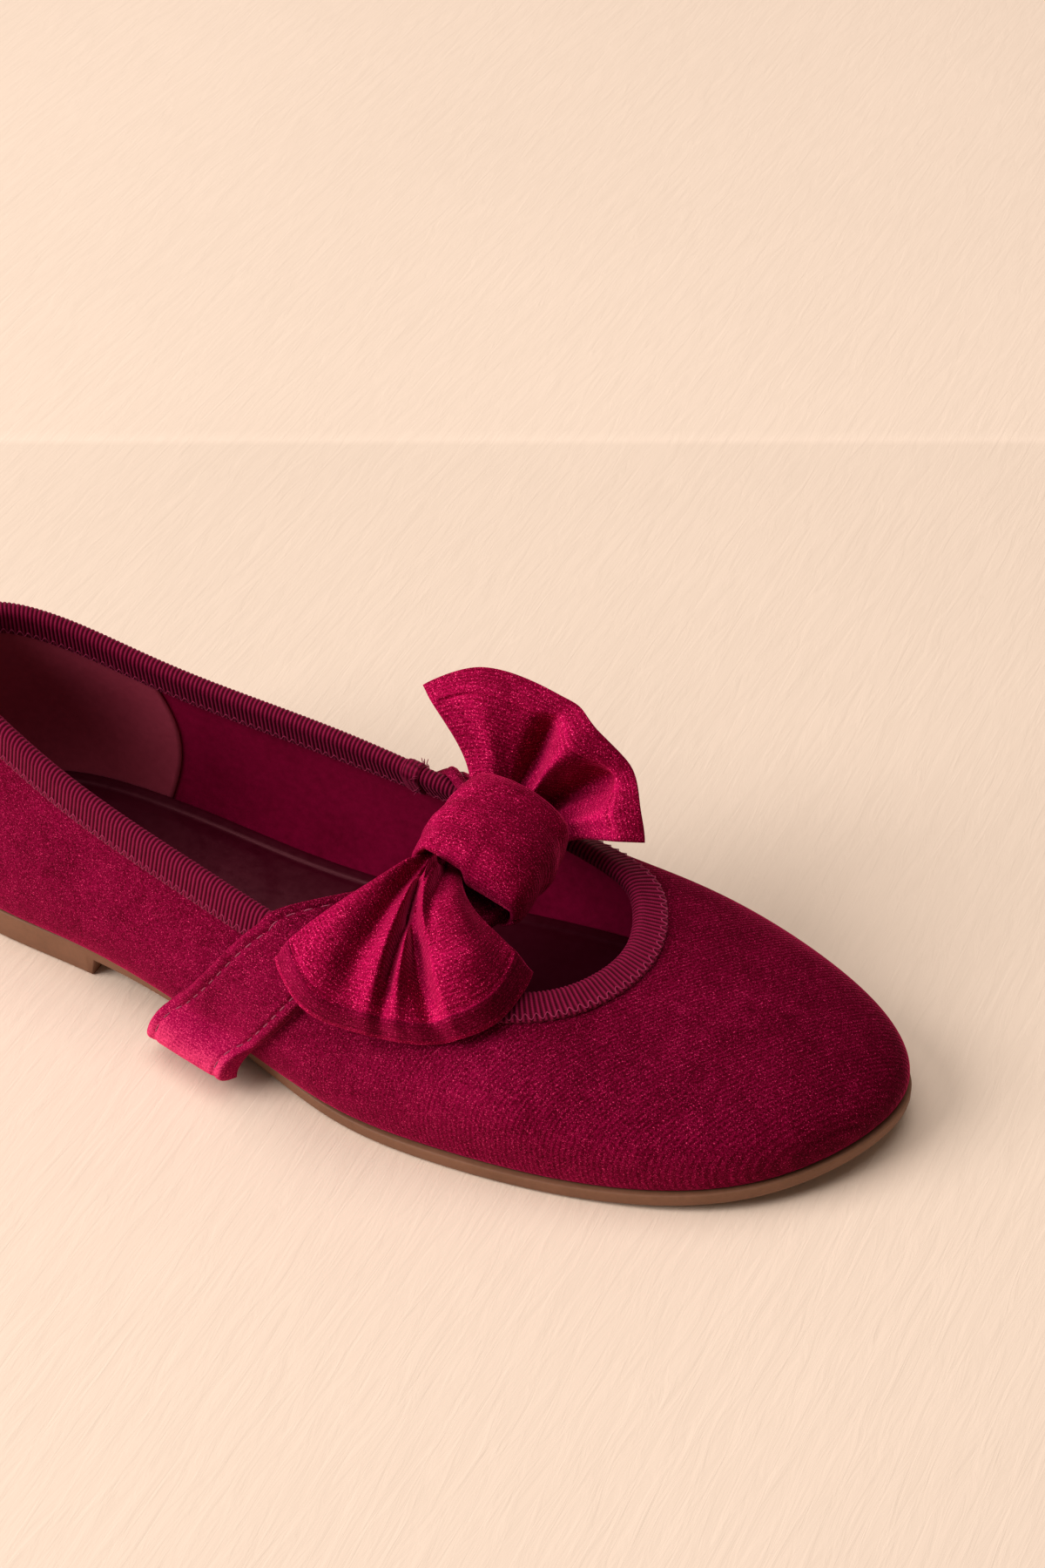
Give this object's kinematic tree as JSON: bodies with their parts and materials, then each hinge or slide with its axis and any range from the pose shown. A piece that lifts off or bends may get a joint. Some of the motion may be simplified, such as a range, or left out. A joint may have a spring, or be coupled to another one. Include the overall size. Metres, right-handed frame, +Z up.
{
  "type": "mary jane flat",
  "caption": "Round-toed mary jane flat with a ribbon-bound topline, a wide strap knotted into a bow over the instep and a thin sole with a low moulded heel.",
  "frame": {"origin": "on the ground under the middle of the heel seat", "axes": "+X from heel to toe, +Y towards the inner side of the right foot, +Z up"},
  "size_m": [0.252, 0.0916, 0.0764],
  "materials": {
    "velvet": "short cotton velvet pile",
    "ribbon": "ribbed ribbon, satin",
    "insole_leather": "smooth, semi-gloss",
    "sole_rubber": "smooth, matt"
  },
  "bodies": {
    "root": {"outsole": "sole_rubber", "insole": "insole_leather", "upper": "velvet", "topline_binding": "ribbon", "strap": "velvet", "knot": "velvet", "outer_bow_tail": "velvet", "inner_bow_tail": "velvet"}
  },
  "joints": []
}
